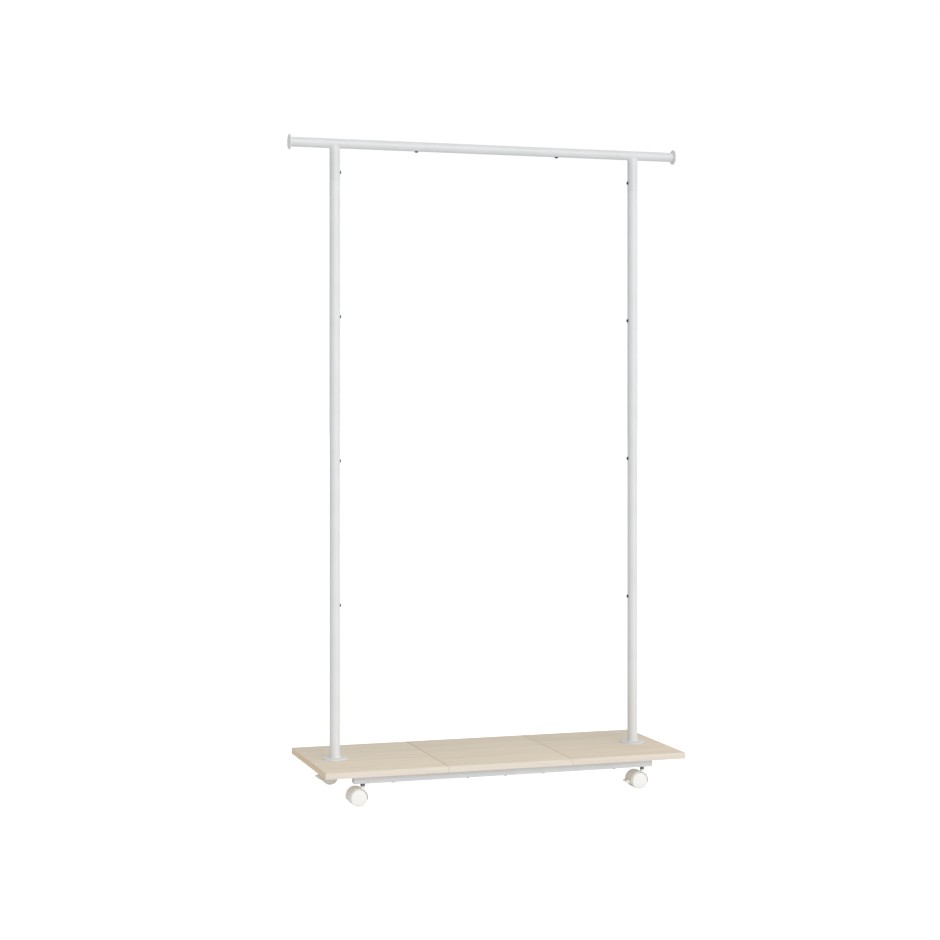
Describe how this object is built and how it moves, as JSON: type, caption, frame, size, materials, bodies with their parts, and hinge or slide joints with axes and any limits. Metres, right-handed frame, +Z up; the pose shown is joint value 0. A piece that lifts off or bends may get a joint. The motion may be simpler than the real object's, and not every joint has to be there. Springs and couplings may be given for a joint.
{
  "type": "rolling clothes rack",
  "caption": "Free-standing clothes rack: one hanging bar on two sectional tube posts, a low board shelf on steel rails, and twin-wheel swivel casters.",
  "frame": {"origin": "on the floor under the middle of the shelf, midway between the posts", "axes": "+X along the hanging bar to the right, +Y to the back, +Z up"},
  "size_m": [0.9976, 0.36, 1.5785],
  "materials": {
    "tube_paint": "satin white powder coat",
    "rail_paint": "light grey powder coat",
    "rail_plug": "grey moulded plastic",
    "shelf_board": "light maple-pattern laminate on particle board, edges banded",
    "cap_plastic": "white moulded plastic",
    "dark_screw": "black-zinc steel",
    "rail_screw": "zinc-plated steel",
    "zinc_hardware": "zinc-plated steel",
    "dark_nut": "dark plated steel",
    "caster_steel": "plain steel",
    "caster_hood": "white moulded plastic",
    "caster_wheel": "white moulded nylon",
    "brake_plastic": "white moulded plastic"
  },
  "bodies": {
    "rack": {"bar_middle": "tube_paint", "bar_screws": "dark_screw", "board_left": "shelf_board", "board_middle": "shelf_board", "board_right": "shelf_board", "board_screws_front": "rail_screw", "board_screws_rear": "rail_screw", "caster_front_left_stem": "caster_steel", "caster_front_right_stem": "caster_steel", "caster_nuts": "dark_nut", "caster_rear_left_stem": "caster_steel", "caster_rear_right_stem": "caster_steel", "end_cap_left": "cap_plastic", "end_cap_right": "cap_plastic", "foot_bolt_left": "zinc_hardware", "foot_bolt_right": "zinc_hardware", "foot_washer_left": "zinc_hardware", "foot_washer_right": "zinc_hardware", "post_foot_left": "tube_paint", "post_foot_right": "tube_paint", "post_screws_left": "dark_screw", "post_screws_right": "dark_screw", "post_tube_lower_left": "tube_paint", "post_tube_lower_right": "tube_paint", "post_tube_middle_left": "tube_paint", "post_tube_middle_right": "tube_paint", "post_tube_upper_left": "tube_paint", "post_tube_upper_right": "tube_paint", "rail_front_left": "rail_paint", "rail_front_right": "rail_paint", "rail_plug_front_left": "rail_plug", "rail_plug_front_right": "rail_plug", "rail_plug_rear_left": "rail_plug", "rail_plug_rear_right": "rail_plug", "rail_rear_left": "rail_paint", "rail_rear_right": "rail_paint", "rail_threaded_inserts": "zinc_hardware", "t_piece_left": "tube_paint", "t_piece_right": "tube_paint"},
    "front_left_caster": {"caster_front_left_axle": "caster_steel", "caster_front_left_hood": "caster_hood"},
    "front_left_wheel_front": {"caster_front_left_wheel_front": "caster_wheel"},
    "front_left_wheel_rear": {"caster_front_left_wheel_rear": "caster_wheel"},
    "front_right_caster": {"caster_front_right_axle": "caster_steel", "caster_front_right_brake_pin": "caster_steel", "caster_front_right_hood": "caster_hood"},
    "front_right_wheel_front": {"caster_front_right_wheel_front": "caster_wheel"},
    "front_right_wheel_rear": {"caster_front_right_wheel_rear": "caster_wheel"},
    "front_right_brake": {"caster_front_right_brake_lever": "brake_plastic"},
    "rear_left_caster": {"caster_rear_left_axle": "caster_steel", "caster_rear_left_brake_pin": "caster_steel", "caster_rear_left_hood": "caster_hood"},
    "rear_left_wheel_front": {"caster_rear_left_wheel_front": "caster_wheel"},
    "rear_left_wheel_rear": {"caster_rear_left_wheel_rear": "caster_wheel"},
    "rear_left_brake": {"caster_rear_left_brake_lever": "brake_plastic"},
    "rear_right_caster": {"caster_rear_right_axle": "caster_steel", "caster_rear_right_hood": "caster_hood"},
    "rear_right_wheel_front": {"caster_rear_right_wheel_front": "caster_wheel"},
    "rear_right_wheel_rear": {"caster_rear_right_wheel_rear": "caster_wheel"}
  },
  "joints": [
    {"name": "front_left_swivel", "type": "hinge", "parent": "rack", "child": "front_left_caster", "pos_m": [-0.352, -0.14, 0.044], "axis": [0, 0, 1], "continuous": true},
    {"name": "front_left_wheel_front_spin", "type": "hinge", "parent": "front_left_caster", "child": "front_left_wheel_front", "pos_m": [-0.366, -0.154, 0.02], "axis": [0, 1, 0], "continuous": true},
    {"name": "front_left_wheel_rear_spin", "type": "hinge", "parent": "front_left_caster", "child": "front_left_wheel_rear", "pos_m": [-0.366, -0.126, 0.02], "axis": [0, 1, 0], "continuous": true},
    {"name": "front_right_swivel", "type": "hinge", "parent": "rack", "child": "front_right_caster", "pos_m": [0.352, -0.14, 0.044], "axis": [0, 0, 1], "continuous": true},
    {"name": "front_right_wheel_front_spin", "type": "hinge", "parent": "front_right_caster", "child": "front_right_wheel_front", "pos_m": [0.338, -0.154, 0.02], "axis": [0, 1, 0], "continuous": true},
    {"name": "front_right_wheel_rear_spin", "type": "hinge", "parent": "front_right_caster", "child": "front_right_wheel_rear", "pos_m": [0.338, -0.126, 0.02], "axis": [0, 1, 0], "continuous": true},
    {"name": "front_right_brake_press", "type": "hinge", "parent": "front_right_caster", "child": "front_right_brake", "pos_m": [0.321, -0.14, 0.027], "axis": [0, -1, 0], "range_deg": [0, 12]},
    {"name": "rear_left_swivel", "type": "hinge", "parent": "rack", "child": "rear_left_caster", "pos_m": [-0.352, 0.14, 0.044], "axis": [0, 0, 1], "continuous": true},
    {"name": "rear_left_wheel_front_spin", "type": "hinge", "parent": "rear_left_caster", "child": "rear_left_wheel_front", "pos_m": [-0.366, 0.126, 0.02], "axis": [0, 1, 0], "continuous": true},
    {"name": "rear_left_wheel_rear_spin", "type": "hinge", "parent": "rear_left_caster", "child": "rear_left_wheel_rear", "pos_m": [-0.366, 0.154, 0.02], "axis": [0, 1, 0], "continuous": true},
    {"name": "rear_left_brake_press", "type": "hinge", "parent": "rear_left_caster", "child": "rear_left_brake", "pos_m": [-0.383, 0.14, 0.027], "axis": [0, -1, 0], "range_deg": [0, 12]},
    {"name": "rear_right_swivel", "type": "hinge", "parent": "rack", "child": "rear_right_caster", "pos_m": [0.352, 0.14, 0.044], "axis": [0, 0, 1], "continuous": true},
    {"name": "rear_right_wheel_front_spin", "type": "hinge", "parent": "rear_right_caster", "child": "rear_right_wheel_front", "pos_m": [0.338, 0.126, 0.02], "axis": [0, 1, 0], "continuous": true},
    {"name": "rear_right_wheel_rear_spin", "type": "hinge", "parent": "rear_right_caster", "child": "rear_right_wheel_rear", "pos_m": [0.338, 0.154, 0.02], "axis": [0, 1, 0], "continuous": true}
  ]
}
